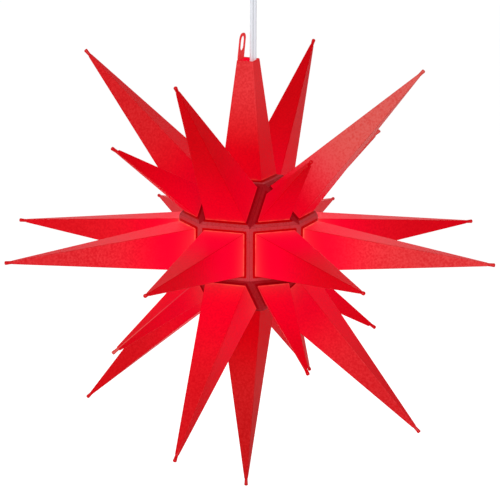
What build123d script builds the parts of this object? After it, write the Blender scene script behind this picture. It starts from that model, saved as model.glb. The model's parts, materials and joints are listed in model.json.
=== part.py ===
"""Moravian star pendant: a lit plastic star that hangs on a twin flex from a ceiling rose.

The frame stands on the ceiling: the origin is the middle of the ceiling plate's upper face, +Z is up,
and the flex runs straight down the Z axis. The star's body is a rhombicuboctahedron, 18 squares and
8 triangles, and each face carries one hollow point. Directions round the star are azimuths, measured
from -Y towards +X, and elevations above the horizontal.
"""

import math
import os

from build123d import *

# ---------------------------------------------------------------- driving dimensions, millimetres
# Star
SPAN = 400.0              # tip to tip across opposite square points
EDGE = 41.75              # edge of every face of the body
TRIANGLE_REACH = 139.3    # centre of the star to the tip of a triangular point
RIM = 4.1                 # width of the flat rim between a point's foot and the face's edge
SEAM = 0.12               # half of the gap between neighbouring points
WALL = 1.1                # wall of every point
SHOULDER_WIDTH = 1.9      # the rim's edge is bevelled towards the seam
SHOULDER_DEPTH = 1.1
COLLAR_HEIGHT = 1.2       # low step round the foot of each point
COLLAR_STEP = 0.3
FLANGE_DEPTH = 6.5        # rims fold inwards this far, towards the centre
NECK_APOTHEM = 1.2        # half width of a point where its tip stub starts
STUB_LENGTH = 6.0
STUB_RADIUS = 1.5         # the stub flares to this
STUB_ROOT_RADIUS = 1.1
STUB_ROUND = 0.9
STUB_ROOT = 1.0           # the stub starts this far down, inside the walls
CAVITY_END_APOTHEM = 0.4  # half width of the hollow where it ends, near the tip

# Top point: the same taper, cut off, with an eyelet on its -X wall
MOUTH_HEIGHT = 92.2       # face of the body to the open mouth
EYELET_HEIGHT = 20.2
EYELET_WIDTH = 12.9
EYELET_CORNER = 5.0
EYELET_HOLE = (9.2, 10.7)
EYELET_HOLE_CENTRE = 12.25
EYELET_ROOT = 3.0         # its plate starts this far down the wall

# Flex: a flat white twin, turned to face the viewer
FLEX_WIDTH = 5.2
FLEX_THICKNESS = 3.2
FLEX_TURN = 21.6          # azimuth that the flex's flat side faces
FLEX_OFFSET = (2.7, 1.1)  # the flex hangs this far off the star's own axis
FLEX_CLEARANCE = 0.1
CORE_RADIUS = 0.75
CORE_SPREAD = 1.0

# Levels below the ceiling
STAR_DROP = 280.0         # ceiling to the centre of the star
ROSE_OUTLET = -52.0       # the flex leaves the rose's neck here
SIDE_PIVOT = -88.0        # the flex bends sideways here
FRONT_PIVOT = -116.0      # and to the front and back here

# Joining clips
CLIP_LENGTH = 9.0
CLIP_SHEET = 0.6
CLIP_DEPTH = 4.6
CLIP_SLACK = 0.05
CLIP_END_SLACK = 0.6      # the flanges' ends are slanted, so the clip's web stands off them

# Flex grip, heights above the top face of the star's body
GRIP_LOW = 60.0
GRIP_HIGH = 76.0
GRIP_CLEARANCE = 0.1
GRIP_SPLIT = 0.1          # gap between the two halves
GRIP_SCREW_X = -4.4
GRIP_SCREW_SEAT = 5.0     # the heads sit this far in front of the star's axis
GRIP_SCREW_LEVELS = (64.5, 71.5)

# Ceiling rose
PLATE_RADIUS = 37.0
PLATE_THICKNESS = 2.5
PLATE_HOLE_SPACING = 50.0
PLATE_HOLE_RADIUS = 2.25
INLET_RADIUS = 6.0
INLET_Y = 19.0
COVER_RIM_RADIUS = 42.0
COVER_LOW_RADIUS = 40.0
COVER_HEIGHT = 40.0
COVER_GAP = 0.5           # between the cover's rim and the ceiling
COVER_WALL = 1.8
COVER_ROUND = 12.0
NECK_RADIUS_HIGH = 8.0
NECK_RADIUS_LOW = 7.0
NECK_BORE = 3.1
THUMB_SCREW_LEVEL = -46.0
THUMB_SCREW_RADIUS = 2.0
THUMB_HEAD_RADIUS = 4.4
THUMB_SHANK = 6.6
THUMB_HEAD = 5.0
THUMB_TIP_GAP = 0.4       # between the screw's end and the flex
THUMB_CHAMFER = 0.5
THUMB_CLEARANCE = 0.06
THUMB_SHANK_ROOT = 0.5    # the shank runs this far into the head
KNURLS = 16
KNURL_RADIUS = 0.6
KNURL_STAND_OFF = 0.3
POST = (20.0, 7.0, 18.0)          # block behind the flex, staked to the plate
STUD_RADIUS = 1.5                 # studs of the post, through the plate
STUD_X = 6.0
STUD_CLEARANCE = 0.05
BAR = (20.0, 3.0, 9.0)            # bar that clamps the flex to the post
ANCHOR_LEVEL = -15.0
ANCHOR_SCREW_X = 6.6
TERMINAL_SIZE = (17.0, 13.0, 11.0)
TERMINAL_FOOT = (6.0, 10.0)
TERMINAL_Y = -20.0
TERMINAL_Z = -11.0
POLE_X = 4.0
POLE_WAY_RADIUS = 1.5
POLE_SCREW_Y = 3.4
POLE_SCREW_RADIUS = 1.4
POLE_SCREW_LENGTH = 2.3
POLE_SCREW_PROUD = 0.2
POLE_SCREW_SLOT = (3.4, 0.5, 1.0)
SHEATH_TOP = -9.5         # the flex's sheath is stripped above this
CORE_LEVEL = -6.0         # the cores turn over the anchor bar here
CORE_BENDS = (1.5, 5.0, 3.5)
CORE_TURN_Y = -8.0
CORE_DROP_Y = -13.0
CORE_END_Y = -17.0

# Small screws in the grip and the rose
SCREW_RADIUS = 1.25
SCREW_LENGTH = 10.0
SCREW_HOLE_DEPTH = 0.2    # a hole is this much deeper than its screw
SCREW_HEAD_RADIUS = 2.5
SCREW_HEAD_HEIGHT = 1.6
SCREW_HEAD_ROUND = 0.8
SCREW_SLOT_WIDTH = 0.7
SCREW_SLOT_DEPTH = 0.7
SCREW_CLEARANCE = 0.1
SCREW_HEAD_CLEARANCE = 0.2

# Lampholder and lamp, heights above the centre of the star
HOLDER_RADIUS = 13.5
HOLDER_LOW = 14.0
HOLDER_HIGH = 44.0
HOLDER_BORE = 7.05
HOLDER_EDGE = 1.0
GROOVE_LEVELS = (20.0, 24.0, 28.0)
GROOVE_DEPTH = 0.6
GROOVE_WIDTH = 1.4
CARRIER_RADIUS = 9.5
CARRIER_LOW = 41.5
CARRIER_HIGH = 46.0
CARRIER_SEAT = 9.7
CARRIER_LEDGE = 8.0
LEDGE_ROOM = 1.0          # the bore widens this far above the lamp's base
CAP_SHOULDER = 48.0
CAP_NECK_LOW = 66.0
CAP_NECK_HIGH = 78.0
CAP_NECK_RADIUS = 6.5
CAP_WALL = 1.6
GRUB_RADIUS = 1.45
GRUB_HOLE_RADIUS = 1.5
GRUB_TIP_GAP = 0.02
GRUB_SUNK = 0.4
GRUB_SLOT = (3.0, 0.5, 1.2)
SHEATH_END = 54.0
CORE_HOLE_CLEARANCE = 0.2
CORE_SEAT = 2.0           # the cores reach this far into the carrier
TONGUE = (9.0, 3.0, 0.5)
TONGUE_X = 2.0
LAMP_BASE_RADIUS = 6.95
LAMP_BASE_LOW = 17.0
LAMP_BASE_HIGH = 37.0
LAMP_BASE_CHAMFER = 2.0
THREAD_START = 2.0
THREAD_PITCH = 2.8
THREAD_DEPTH = 0.6
THREAD_TURNS = 5
INSULATOR_HEIGHT = 2.0
INSULATOR_RADIUS = 3.2
END_CONTACT_HEIGHT = 1.4
END_CONTACT_RADII = (2.6, 2.2)
LAMP_HOUSING_RADIUS = 15.0
LAMP_HOUSING_LOW = 2.0
HOUSING_GAP = 0.5         # between the housing and the holder
HOUSING_RIM = 1.5
HOUSING_TAPER = 2.0
HOUSING_SHOULDER = 3.0
HOUSING_COLLAR = 2.5
GLOBE_RADIUS = 20.0
GLOBE_CENTRE = -11.5
GLOBE_WALL = 1.0

OVERRUN = 1.0             # a cutting solid runs this far past what it cuts
BLOCK = 60.0              # side of the large cutting blocks

# ---------------------------------------------------------------- derived
SQUARE = 4
TRIANGLE = 3
REACH = SPAN / 2
SQUARE_INRADIUS = EDGE * (1 + math.sqrt(2)) / 2
TRIANGLE_INRADIUS = EDGE * (3 + math.sqrt(2)) / (2 * math.sqrt(3))
EDGE_RADIUS = math.hypot(SQUARE_INRADIUS, EDGE / 2)
TRIANGLE_ELEVATION = math.degrees(math.asin(1 / math.sqrt(3)))
INRADIUS = {SQUARE: SQUARE_INRADIUS, TRIANGLE: TRIANGLE_INRADIUS}
TIP_HEIGHT = {SQUARE: REACH - SQUARE_INRADIUS, TRIANGLE: TRIANGLE_REACH - TRIANGLE_INRADIUS}
STAR_CENTRE = Vector(-FLEX_OFFSET[0], -FLEX_OFFSET[1], -STAR_DROP)
FLEX_FRAME = Rot(0, 0, FLEX_TURN)
TOP_UPRIGHT = Pos(STAR_CENTRE + Vector(0, 0, SQUARE_INRADIUS))
LAMP = Pos(0, 0, -STAR_DROP)
GRIP_TOP = -STAR_DROP + SQUARE_INRADIUS + GRIP_HIGH
HALF_FLEX = FLEX_THICKNESS / 2
HOUSING_TOP = HOLDER_LOW - HOUSING_GAP
STANDING = (Align.CENTER, Align.CENTER, Align.MIN)

os.makedirs("parts", exist_ok=True)


def save(node, *solids):
    """Write one node, made of one or more separate solids."""
    shape = solids[0] if len(solids) == 1 else Compound(children=list(solids))
    export_step(shape, f"parts/{node}.step")


# ---------------------------------------------------------------- shared shapes
def polygon(sides, apothem, height):
    """Regular polygon at a height, with one edge along X on its -Y side."""
    radius = apothem / math.cos(math.pi / sides)
    first = -math.pi / 2 + math.pi / sides
    turns = [first + 2 * math.pi * i / sides for i in range(sides)]
    corners = [(radius * math.cos(turn), radius * math.sin(turn)) for turn in turns]
    return Pos(0, 0, height) * Polygon(*corners, align=None)


def frustum(sides, low_apothem, low, high_apothem, high):
    """Straight-sided pyramid stump between two heights."""
    return loft([polygon(sides, low_apothem, low), polygon(sides, high_apothem, high)], ruled=True)


def turned(*profile):
    """Solid of revolution about Z from (radius, height) corners."""
    return revolve(Plane.XZ * Polygon(*profile, align=None), Axis.Z)


def tube(outer, inner, low, high):
    """Round tube about Z."""
    return turned((inner, low), (outer, low), (outer, high), (inner, high))


def rod(radius, low, high):
    """Round rod about Z."""
    return Pos(0, 0, low) * Cylinder(radius, high - low, align=STANDING)


def flex_section(grow=0.0):
    """Flat twin flex: two round cores side by side in one sheath."""
    return FLEX_FRAME * SlotOverall(FLEX_WIDTH + 2 * grow, FLEX_THICKNESS + 2 * grow)


def flex_run(low, high, grow=0.0):
    """Straight stretch of the flex on the Z axis."""
    return extrude(Pos(0, 0, low) * flex_section(grow), high - low)


def screw(shank_length):
    """Small round-head screw along +Z with its head's underside at the origin."""
    head = rod(SCREW_HEAD_RADIUS, -SCREW_HEAD_HEIGHT, 0)
    head = fillet(head.edges().sort_by(Axis.Z)[0], SCREW_HEAD_ROUND)
    slot = Pos(0, 0, -SCREW_HEAD_HEIGHT) * Box(2 * SCREW_HEAD_RADIUS, SCREW_SLOT_WIDTH, 2 * SCREW_SLOT_DEPTH)
    return head - slot + rod(SCREW_RADIUS, 0, shank_length)


# ---------------------------------------------------------------- the star's points
def face_frame(azimuth, elevation, sides):
    """Frame on a face of the body: Z points out, X is level, and a triangle's edge is at -Y."""
    az, el = math.radians(azimuth), math.radians(elevation)
    outward = Vector(math.cos(el) * math.sin(az), -math.cos(el) * math.cos(az), math.sin(el))
    level = Vector(math.cos(az), math.sin(az), 0)
    if elevation < 0:
        level = -level
    return Plane(origin=STAR_CENTRE + outward * INRADIUS[sides], x_dir=level, z_dir=outward)


def wall_apothem(sides, height):
    """Half width of a point's outer walls at a height above its face."""
    foot = EDGE / (2 * math.tan(math.pi / sides)) - RIM
    neck = TIP_HEIGHT[sides] - STUB_LENGTH
    return foot - (foot - NECK_APOTHEM) * height / neck


def height_at(sides, apothem):
    """Height above the face at which a point's outer walls have a half width."""
    foot = wall_apothem(sides, 0)
    return (TIP_HEIGHT[sides] - STUB_LENGTH) * (foot - apothem) / (foot - NECK_APOTHEM)


def rim_tray(sides):
    """Flat rim with a bevelled shoulder and inward flanges, before the point is hollowed."""
    inradius = INRADIUS[sides]
    face = EDGE / (2 * math.tan(math.pi / sides))
    lean = inradius / EDGE_RADIUS                  # cosine of the flange's tilt from the face's axis
    seam, skin = SEAM / lean, WALL / lean
    depth = FLANGE_DEPTH * lean

    def edge_at(z):
        return face * (inradius + z) / inradius - seam

    tray = frustum(sides, edge_at(-depth), -depth, edge_at(-SHOULDER_DEPTH), -SHOULDER_DEPTH)
    tray += frustum(sides, edge_at(-SHOULDER_DEPTH), -SHOULDER_DEPTH, edge_at(0) - SHOULDER_WIDTH, 0)
    below = -depth - OVERRUN
    tray -= frustum(sides, edge_at(below) - skin, below, edge_at(-WALL) - skin, -WALL)
    foot = wall_apothem(sides, 0) + COLLAR_STEP
    return tray + frustum(sides, foot, 0, foot - COLLAR_STEP / 2, COLLAR_HEIGHT)


def hollow_spire(sides, top):
    """Outer walls and hollow of a point, up to a height above its face."""
    outer = frustum(sides, wall_apothem(sides, 0), 0, wall_apothem(sides, top), top)
    inner_foot = wall_apothem(sides, 0) - WALL
    inner_end = min(top + OVERRUN, height_at(sides, CAVITY_END_APOTHEM + WALL))
    hollow = frustum(sides, inner_foot, 0, wall_apothem(sides, inner_end) - WALL, inner_end)
    hollow += frustum(sides, inner_foot, -WALL - OVERRUN, inner_foot, 0)
    return outer, hollow


def point(sides):
    """A whole point: rim, walls and the small stub at its tip."""
    tip = TIP_HEIGHT[sides]
    neck = tip - STUB_LENGTH
    outer, hollow = hollow_spire(sides, neck)
    stub = Cone(STUB_ROOT_RADIUS, STUB_RADIUS, STUB_LENGTH + STUB_ROOT, align=STANDING)
    stub = Pos(0, 0, neck - STUB_ROOT) * fillet(stub.edges().sort_by(Axis.Z)[-1], STUB_ROUND)
    return rim_tray(sides) + outer + stub - hollow


def top_point():
    """The cut-off point at the top, with its open mouth and the hanging eyelet."""
    outer, hollow = hollow_spire(SQUARE, MOUTH_HEIGHT)
    shell = rim_tray(SQUARE) + outer - hollow
    slope = (wall_apothem(SQUARE, 0) - wall_apothem(SQUARE, MOUTH_HEIGHT)) / MOUTH_HEIGHT
    along_wall = Vector(slope, 0, 1).normalized()
    start = MOUTH_HEIGHT - EYELET_ROOT
    inwards = Vector(0, 1, 0).cross(along_wall)
    plate = Plane(origin=(-wall_apothem(SQUARE, start), 0, start), x_dir=(0, 1, 0), z_dir=inwards)
    height = (EYELET_HEIGHT + EYELET_ROOT) / along_wall.Z
    outline = Pos(0, height / 2) * Rectangle(EYELET_WIDTH, height)
    outline = fillet(outline.vertices().group_by(Axis.Y)[-1], EYELET_CORNER)
    width, length = EYELET_HOLE
    hole = Pos(0, EYELET_ROOT + EYELET_HOLE_CENTRE) * Rot(0, 0, 90) * SlotOverall(length, width)
    eyelet = extrude(plate * (outline - hole), WALL * along_wall.Z)
    return shell + eyelet


def build_points():
    """Save every point and give back the frames and side counts of all 26 faces."""
    spires = {SQUARE: point(SQUARE), TRIANGLE: point(TRIANGLE)}
    rings = (
        ("middle_point", SQUARE, 0, range(0, 360, 45)),
        ("upper_point", SQUARE, 45, range(0, 360, 90)),
        ("lower_point", SQUARE, -45, range(0, 360, 90)),
        ("upper_triangle_point", TRIANGLE, TRIANGLE_ELEVATION, range(45, 360, 90)),
        ("lower_triangle_point", TRIANGLE, -TRIANGLE_ELEVATION, range(45, 360, 90)),
    )
    faces = []
    for name, sides, elevation, azimuths in rings:
        for number, azimuth in enumerate(azimuths, start=1):
            frame = face_frame(azimuth, elevation, sides)
            faces.append((frame, sides))
            save(f"{name}_{number}", frame.location * spires[sides])
    bottom = face_frame(0, -90, SQUARE)
    save("bottom_point", bottom.location * spires[SQUARE])
    save("top_point", TOP_UPRIGHT * top_point())
    return faces + [(bottom, SQUARE), (face_frame(0, 90, SQUARE), SQUARE)]


# ---------------------------------------------------------------- joining clips
def joining_clip():
    """Spring clip over two folded flanges: X along the edge, Z out from the star's centre."""
    inside = 2 * (WALL + SEAM + CLIP_SLACK)
    web = EDGE_RADIUS - FLANGE_DEPTH - CLIP_END_SLACK
    block = Pos(0, 0, web + (CLIP_DEPTH - CLIP_SHEET) / 2) * Box(
        CLIP_LENGTH, inside + 2 * CLIP_SHEET, CLIP_DEPTH + CLIP_SHEET
    )
    slot = Pos(0, 0, web + CLIP_DEPTH) * Box(CLIP_LENGTH + 2 * OVERRUN, inside, 2 * CLIP_DEPTH)
    return block - slot


def edge_frames(faces):
    """One frame for each of the body's 48 edges, found from the faces that share it."""
    found = {}
    for frame, sides in faces:
        apothem = EDGE / (2 * math.tan(math.pi / sides))
        for i in range(sides):
            turn = 2 * math.pi * i / sides - math.pi / 2
            outward = Vector(math.cos(turn), math.sin(turn), 0)
            along = Vector(-math.sin(turn), math.cos(turn), 0)
            middle = frame.from_local_coords(outward * apothem)
            ahead = frame.from_local_coords(outward * apothem + along)
            key = tuple(round(value) for value in middle)
            out = (middle - STAR_CENTRE).normalized()
            found.setdefault(key, Plane(origin=STAR_CENTRE, x_dir=ahead - middle, z_dir=out))
    return list(found.values())


def build_clips(faces):
    """Save one clip for each edge, all in one node."""
    clip = joining_clip()
    edges = edge_frames(faces)
    print("edges of the body:", len(edges))
    save("joining_clips", *[frame.location * clip for frame in edges])


# ---------------------------------------------------------------- flex
def flex_link(low, high, ball_end, socket_end):
    """Free stretch of flex; a bend has a round end below it turning in a hollow end above it."""
    link = flex_run(low, high + (FLEX_WIDTH if ball_end else 0))
    if ball_end:
        above = Pos(0, 0, high) * Box(BLOCK, BLOCK, BLOCK, align=STANDING)
        link -= above - Pos(0, 0, high) * Sphere(FLEX_WIDTH / 2)
    if socket_end:
        link -= Pos(0, 0, low) * Sphere(FLEX_WIDTH / 2 + FLEX_CLEARANCE)
    return link


def build_flex():
    """Save the free stretches, the flex in the star and the flex in the rose."""
    save("flex_upper", flex_link(SIDE_PIVOT, ROSE_OUTLET, False, True))
    save("flex_middle", flex_link(FRONT_PIVOT, SIDE_PIVOT, True, True))
    save("flex_lower", flex_link(GRIP_TOP + FLEX_CLEARANCE, FRONT_PIVOT, True, False))
    save("flex_in_star", flex_run(-STAR_DROP + SHEATH_END, GRIP_TOP))
    save("flex_in_rose", flex_run(ROSE_OUTLET, SHEATH_TOP))
    print(f"free flex: one straight run of {ROSE_OUTLET - GRIP_TOP:.1f} mm, no bends")


# ---------------------------------------------------------------- flex grip in the top point
def grip_half(front):
    """One half of the tapered plug that pinches the flex and wedges in the top point."""
    inner = [wall_apothem(SQUARE, z) - WALL - GRIP_CLEARANCE for z in (GRIP_LOW, GRIP_HIGH)]
    plug = TOP_UPRIGHT * frustum(SQUARE, inner[0], GRIP_LOW, inner[1], GRIP_HIGH)
    side, split = (Align.MAX, -GRIP_SPLIT / 2) if front else (Align.MIN, GRIP_SPLIT / 2)
    block = Box(BLOCK, BLOCK, BLOCK, align=(Align.CENTER, side, Align.CENTER))
    half = plug & Pos(0, split, GRIP_TOP) * block
    return half - flex_run(GRIP_TOP - GRIP_HIGH + GRIP_LOW - OVERRUN, GRIP_TOP + OVERRUN, GRIP_CLEARANCE / 2)


def grip_screw_places():
    """Screw frames: along +Y, with the heads sunk in the front half."""
    face = -STAR_DROP + SQUARE_INRADIUS
    x = STAR_CENTRE.X + GRIP_SCREW_X
    y = STAR_CENTRE.Y - GRIP_SCREW_SEAT
    return [
        Plane(origin=(x, y, face + level), x_dir=(1, 0, 0), z_dir=(0, 1, 0)).location
        for level in GRIP_SCREW_LEVELS
    ]


def build_grip():
    """Save the two halves, drilled for their screws, and the screws."""
    front = grip_half(True)
    back = grip_half(False)
    for place in grip_screw_places():
        shank_hole = place * rod(SCREW_RADIUS + SCREW_CLEARANCE, -OVERRUN, SCREW_LENGTH + SCREW_HOLE_DEPTH)
        head_hole = place * rod(SCREW_HEAD_RADIUS + SCREW_HEAD_CLEARANCE, -SCREW_LENGTH, 0)
        front -= head_hole + shank_hole
        back -= shank_hole
    save("grip_front", front)
    save("grip_back", back)
    save("grip_screws", *[place * screw(SCREW_LENGTH) for place in grip_screw_places()])


# ---------------------------------------------------------------- lampholder
def holder_body():
    """Round skirt that the lamp screws into, with a seat for the contact carrier."""
    ledge = LAMP_BASE_HIGH + LEDGE_ROOM
    body = turned(
        (HOLDER_BORE, HOLDER_LOW), (HOLDER_RADIUS - HOLDER_EDGE, HOLDER_LOW),
        (HOLDER_RADIUS, HOLDER_LOW + HOLDER_EDGE), (HOLDER_RADIUS, HOLDER_HIGH), (CARRIER_SEAT, HOLDER_HIGH),
        (CARRIER_SEAT, CARRIER_LOW), (CARRIER_LEDGE, CARRIER_LOW), (CARRIER_LEDGE, ledge), (HOLDER_BORE, ledge),
    )
    groove = tube(HOLDER_RADIUS + OVERRUN, HOLDER_RADIUS - GROOVE_DEPTH, 0, GROOVE_WIDTH)
    for level in GROOVE_LEVELS:
        body -= Pos(0, 0, level) * groove
    return body


def holder_cap():
    """Cone over the contact carrier, with a neck that grips the flex."""
    outside = [
        (HOLDER_RADIUS, HOLDER_HIGH), (HOLDER_RADIUS, CAP_SHOULDER), (CAP_NECK_RADIUS, CAP_NECK_LOW),
        (CAP_NECK_RADIUS, CAP_NECK_HIGH - HOLDER_EDGE), (CAP_NECK_RADIUS - HOLDER_EDGE, CAP_NECK_HIGH),
        (0, CAP_NECK_HIGH),
    ]
    ceiling = CAP_NECK_LOW - CORE_SEAT
    inside = [
        (0, ceiling), (CAP_NECK_RADIUS - CAP_WALL - HOLDER_EDGE, ceiling),
        (CARRIER_LEDGE + HOLDER_EDGE / 2, CARRIER_HIGH), (CARRIER_SEAT, CARRIER_HIGH),
        (CARRIER_SEAT, HOLDER_HIGH),
    ]
    cap = turned(*outside, *inside)
    return cap - flex_run(ceiling - OVERRUN, CAP_NECK_HIGH + OVERRUN, 2 * FLEX_CLEARANCE)


def grub_screw(level):
    """Frame and solid of the short headless screw that presses on the flex's flat side."""
    start = HALF_FLEX + GRUB_TIP_GAP
    frame = Rot(0, 0, FLEX_TURN) * Plane(origin=(0, -start, level), x_dir=(1, 0, 0), z_dir=(0, -1, 0)).location
    length = CAP_NECK_RADIUS - start - GRUB_SUNK
    slot = Pos(0, 0, length) * Box(*GRUB_SLOT)
    return frame, rod(GRUB_RADIUS, 0, length) - slot


def build_holder():
    """Save the lampholder: body, cap, grub screw, contact carrier, contact and cores."""
    frame, grub = grub_screw((CAP_NECK_LOW + CAP_NECK_HIGH) / 2)
    grub_hole = frame * rod(GRUB_HOLE_RADIUS, 0, 2 * CAP_NECK_RADIUS)
    save("holder_body", LAMP * holder_body())
    save("holder_cap", LAMP * (holder_cap() - grub_hole))
    save("holder_grub_screw", LAMP * frame * grub)
    core_hole = rod(CORE_RADIUS + CORE_HOLE_CLEARANCE, CARRIER_HIGH - CORE_SEAT, CARRIER_HIGH + OVERRUN)
    core_places = [FLEX_FRAME * Pos(side * CORE_SPREAD, 0, 0) for side in (-1, 1)]
    carrier = rod(CARRIER_RADIUS, CARRIER_LOW, CARRIER_HIGH)
    for place in core_places:
        carrier -= place * core_hole
    save("contact_carrier", LAMP * carrier)
    lamp_core = rod(CORE_RADIUS, CARRIER_HIGH - CORE_SEAT, SHEATH_END)
    save("lamp_cores", *[LAMP * place * lamp_core for place in core_places])
    save("centre_contact", LAMP * Pos(TONGUE_X, 0, CARRIER_LOW - TONGUE[2] / 2) * Box(*TONGUE))


# ---------------------------------------------------------------- lamp
def lamp_base():
    """Screw shell with a rolled thread, drawn as rings."""
    profile = [(0, LAMP_BASE_LOW), (LAMP_BASE_RADIUS, LAMP_BASE_LOW)]
    start = LAMP_BASE_LOW + THREAD_START
    for ring in range(THREAD_TURNS):
        level = start + ring * THREAD_PITCH
        profile.append((LAMP_BASE_RADIUS, level))
        profile.append((LAMP_BASE_RADIUS - THREAD_DEPTH, level + THREAD_PITCH / 2))
    profile.append((LAMP_BASE_RADIUS, start + THREAD_TURNS * THREAD_PITCH))
    profile.append((LAMP_BASE_RADIUS, LAMP_BASE_HIGH - LAMP_BASE_CHAMFER))
    profile.append((LAMP_BASE_RADIUS - LAMP_BASE_CHAMFER, LAMP_BASE_HIGH))
    profile.append((0, LAMP_BASE_HIGH))
    return turned(*profile)


def lamp_housing():
    """Round shell between the screw base and the globe."""
    collar = LAMP_BASE_RADIUS - THREAD_DEPTH
    globe_ring = math.sqrt(GLOBE_RADIUS ** 2 - (LAMP_HOUSING_LOW - GLOBE_CENTRE) ** 2)
    return turned(
        (0, LAMP_HOUSING_LOW), (globe_ring, LAMP_HOUSING_LOW),
        (LAMP_HOUSING_RADIUS, LAMP_HOUSING_LOW + HOUSING_RIM),
        (LAMP_HOUSING_RADIUS - HOUSING_TAPER, HOUSING_TOP - HOUSING_SHOULDER),
        (LAMP_BASE_RADIUS + HOUSING_COLLAR, HOUSING_TOP), (collar, HOUSING_TOP), (collar, LAMP_BASE_LOW),
        (0, LAMP_BASE_LOW),
    )


def build_lamp():
    """Save the lamp's base, insulator, end contact, housing and globe."""
    tip = LAMP_BASE_HIGH + INSULATOR_HEIGHT
    shoulder = LAMP_BASE_RADIUS - LAMP_BASE_CHAMFER
    wide, narrow = END_CONTACT_RADII
    save("lamp_base", LAMP * lamp_base())
    save("lamp_insulator", LAMP * turned(
        (0, LAMP_BASE_HIGH), (shoulder, LAMP_BASE_HIGH), (INSULATOR_RADIUS, tip), (0, tip)
    ))
    save("lamp_end_contact", LAMP * turned(
        (0, tip), (wide, tip), (narrow, tip + END_CONTACT_HEIGHT), (0, tip + END_CONTACT_HEIGHT)
    ))
    save("lamp_housing", LAMP * lamp_housing())
    globe = Sphere(GLOBE_RADIUS) - Sphere(GLOBE_RADIUS - GLOBE_WALL)
    globe -= Pos(0, 0, LAMP_HOUSING_LOW - GLOBE_CENTRE) * Box(BLOCK, BLOCK, BLOCK, align=STANDING)
    save("lamp_globe", LAMP * Pos(0, 0, GLOBE_CENTRE) * globe)


# ---------------------------------------------------------------- ceiling rose
def anchor_places():
    """Screw frames of the clamp bar: along +Y of the flex's frame, heads on the bar."""
    return [
        FLEX_FRAME * Plane(
            origin=(side * ANCHOR_SCREW_X, -HALF_FLEX - BAR[1], ANCHOR_LEVEL), x_dir=(1, 0, 0), z_dir=(0, 1, 0)
        ).location
        for side in (-1, 1)
    ]


def stud_places():
    """Axes of the two studs that hold the post to the plate."""
    return [FLEX_FRAME * Pos(side * STUD_X, HALF_FLEX + POST[1] / 2, 0) for side in (-1, 1)]


def ceiling_plate():
    """Round plate on the ceiling: two screw holes, the cable inlet and the post's stud holes."""
    plate = rod(PLATE_RADIUS, -PLATE_THICKNESS, 0)
    for side in (-1, 1):
        plate -= Pos(side * PLATE_HOLE_SPACING / 2, 0, 0) * rod(PLATE_HOLE_RADIUS, -BLOCK, BLOCK)
    plate -= FLEX_FRAME * Pos(0, INLET_Y, 0) * rod(INLET_RADIUS, -BLOCK, BLOCK)
    for place in stud_places():
        plate -= place * rod(STUD_RADIUS + STUD_CLEARANCE, -BLOCK, BLOCK)
    return plate


def anchor_post():
    """Block behind the flex, drilled for the bar's screws, with two studs up through the plate."""
    post = FLEX_FRAME * Pos(0, HALF_FLEX + POST[1] / 2, -PLATE_THICKNESS - POST[2] / 2) * Box(*POST)
    for place in stud_places():
        post += place * rod(STUD_RADIUS, -PLATE_THICKNESS, 0)
    for place in anchor_places():
        post -= place * rod(SCREW_RADIUS + SCREW_CLEARANCE, 0, SCREW_LENGTH + SCREW_HOLE_DEPTH)
    return post


def anchor_bar():
    """Bar that two screws pull against the flex."""
    bar = FLEX_FRAME * Pos(0, -HALF_FLEX - BAR[1] / 2, ANCHOR_LEVEL) * Box(*BAR)
    for place in anchor_places():
        bar -= place * rod(SCREW_RADIUS + SCREW_CLEARANCE, -OVERRUN, SCREW_LENGTH)
    return bar


def pole_screw_places():
    """Axes of the terminal screws, two to a pole, from the block's lower face."""
    low = TERMINAL_Z - TERMINAL_SIZE[2] / 2
    return [
        FLEX_FRAME * Pos(side * POLE_X, TERMINAL_Y + end * POLE_SCREW_Y, low)
        for side in (-1, 1) for end in (-1, 1)
    ]


def terminal_block():
    """Two-pole block on a foot, with a wire way through each pole and two screws a pole."""
    top = TERMINAL_Z + TERMINAL_SIZE[2] / 2
    block = FLEX_FRAME * Pos(0, TERMINAL_Y, TERMINAL_Z) * Box(*TERMINAL_SIZE)
    block += FLEX_FRAME * Pos(0, TERMINAL_Y, top) * Box(*TERMINAL_FOOT, -PLATE_THICKNESS - top, align=STANDING)
    for side in (-1, 1):
        way = Plane(origin=(side * POLE_X, TERMINAL_Y, TERMINAL_Z), x_dir=(1, 0, 0), z_dir=(0, 1, 0))
        block -= FLEX_FRAME * way.location * rod(POLE_WAY_RADIUS, -TERMINAL_SIZE[1], TERMINAL_SIZE[1])
    for place in pole_screw_places():
        block -= place * rod(POLE_WAY_RADIUS, -OVERRUN, POLE_SCREW_LENGTH + POLE_SCREW_PROUD)
    return block


def core(side):
    """Insulated core from the end of the sheath, over the anchor bar, to its pole."""
    route = FilletPolyline(
        (side * CORE_SPREAD, 0, SHEATH_TOP), (side * CORE_SPREAD, 0, CORE_LEVEL),
        (side * POLE_X, CORE_TURN_Y, CORE_LEVEL), (side * POLE_X, CORE_DROP_Y, TERMINAL_Z),
        (side * POLE_X, CORE_END_Y, TERMINAL_Z), radius=list(CORE_BENDS),
    )
    section = Plane(origin=route @ 0, z_dir=route % 0) * Circle(CORE_RADIUS)
    return FLEX_FRAME * sweep(section, path=route)


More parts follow.
